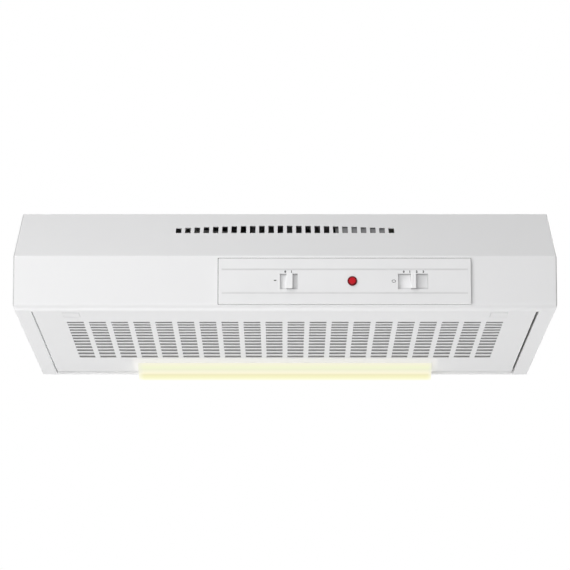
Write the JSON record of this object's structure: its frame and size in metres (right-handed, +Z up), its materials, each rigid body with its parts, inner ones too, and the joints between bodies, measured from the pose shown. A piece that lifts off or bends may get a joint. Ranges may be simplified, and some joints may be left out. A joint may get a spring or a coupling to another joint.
{
  "type": "range hood",
  "caption": "White under-cabinet range hood with a slotted filter panel that hinges down, slide controls, lamp, fan, duct collar and inner parts.",
  "frame": {"origin": "on the wall plane, in the middle of the hood's width, level with its underside", "axes": "+X to the right seen from the front, +Y towards the wall, +Z up"},
  "size_m": [0.6, 0.4868, 0.1743],
  "materials": {
    "white_enamel": "smooth white stove enamel on sheet steel",
    "zinc_steel": "zinc-plated sheet and wire",
    "screws": "zinc-plated screws and nut",
    "white_plastic": "satin white moulding",
    "clear_white_plastic": "frosted diffuser, lit warm from behind",
    "red_lens": "translucent red",
    "grey_plastic": "grey moulding",
    "black_plastic": "black moulding",
    "terminal_plastic": "natural nylon",
    "motor_steel": "dark grey can",
    "ballast_steel": "light grey can",
    "tube_glass": "white coated glass",
    "cap_metal": "pressed caps",
    "pilot_glass": "neon lamp",
    "filter_fibre": "grey fibre pad",
    "lead_sheath": "white sheathed cable",
    "clip_plastic": "natural nylon clips"
  },
  "bodies": {
    "hood": {"hood_shell": "white_enamel", "top_panel": "white_enamel", "left_side_panel": "white_enamel", "right_side_panel": "white_enamel", "back_panel": "white_enamel", "lamp_tray": "white_enamel", "duct_collar": "white_enamel", "hanging_plates": "zinc_steel", "left_hinge_bracket": "zinc_steel", "right_hinge_bracket": "zinc_steel", "lamp_brackets": "zinc_steel", "fan_cover": "zinc_steel", "flap_pin": "zinc_steel", "fan_screws": "screws", "motor_screws": "screws", "collar_screws": "screws", "lamp_screws": "screws", "terminal_box_screws": "screws", "control_fascia": "white_plastic", "lamp_holders": "white_plastic", "pilot_lens": "red_lens", "terminal_box": "grey_plastic", "terminal_box_cover": "grey_plastic", "control_cover": "grey_plastic", "cable_gland": "grey_plastic", "gland_lock_nut": "grey_plastic", "fan_scroll": "black_plastic", "inlet_guard": "black_plastic", "light_switch": "black_plastic", "fan_switch": "black_plastic", "terminal_block": "terminal_plastic", "motor": "motor_steel", "lamp_ballast": "ballast_steel", "lamp_tube": "tube_glass", "tube_caps": "cap_metal", "pilot_lamp": "pilot_glass", "switch_lead": "lead_sheath", "motor_lead": "lead_sheath", "lamp_lead": "lead_sheath", "cable_clips": "clip_plastic"},
    "filter_panel": {"filter_panel": "white_enamel", "grease_filter": "filter_fibre", "filter_wires": "zinc_steel", "lamp_lens": "clear_white_plastic", "hinge_pins": "zinc_steel"},
    "left_latch": {"left_latch": "white_plastic"},
    "right_latch": {"right_latch": "white_plastic"},
    "light_slider": {"light_slider": "white_plastic"},
    "fan_slider": {"fan_slider": "white_plastic"},
    "impeller": {"impeller": "black_plastic", "motor_shaft": "zinc_steel", "impeller_nut": "screws"},
    "front_flap": {"front_flap": "black_plastic"},
    "rear_flap": {"rear_flap": "black_plastic"},
    "recirculation_shutter": {"recirculation_shutter": "white_plastic"}
  },
  "joints": [
    {"name": "filter_panel_hinge", "type": "hinge", "parent": "hood", "child": "filter_panel", "pos_m": [0, -0.011, 0.0065], "axis": [1, 0, 0], "range_deg": [0, 70]},
    {"name": "left_latch_slide", "type": "slide", "parent": "filter_panel", "child": "left_latch", "axis": [0, 1, 0], "range_m": [0, 0.004], "stiffness_N_per_m": 400},
    {"name": "right_latch_slide", "type": "slide", "parent": "filter_panel", "child": "right_latch", "axis": [0, 1, 0], "range_m": [0, 0.004], "stiffness_N_per_m": 400},
    {"name": "light_slider_slide", "type": "slide", "parent": "hood", "child": "light_slider", "axis": [1, 0, 0], "range_m": [-0.0047, 0.0047]},
    {"name": "fan_slider_slide", "type": "slide", "parent": "hood", "child": "fan_slider", "axis": [1, 0, 0], "range_m": [-0.0109, 0.0109]},
    {"name": "impeller_spin", "type": "hinge", "parent": "hood", "child": "impeller", "pos_m": [-0.14, -0.165, 0.09], "axis": [0, 0, 1], "continuous": true},
    {"name": "front_flap_hinge", "type": "hinge", "parent": "hood", "child": "front_flap", "pos_m": [0, -0.125, 0.1411], "axis": [-1, 0, 0], "range_deg": [0, 80]},
    {"name": "rear_flap_hinge", "type": "hinge", "parent": "hood", "child": "rear_flap", "pos_m": [0, -0.125, 0.1411], "axis": [1, 0, 0], "range_deg": [0, 80]},
    {"name": "shutter_slide", "type": "slide", "parent": "hood", "child": "recirculation_shutter", "axis": [1, 0, 0], "range_m": [0, 0.018]}
  ]
}
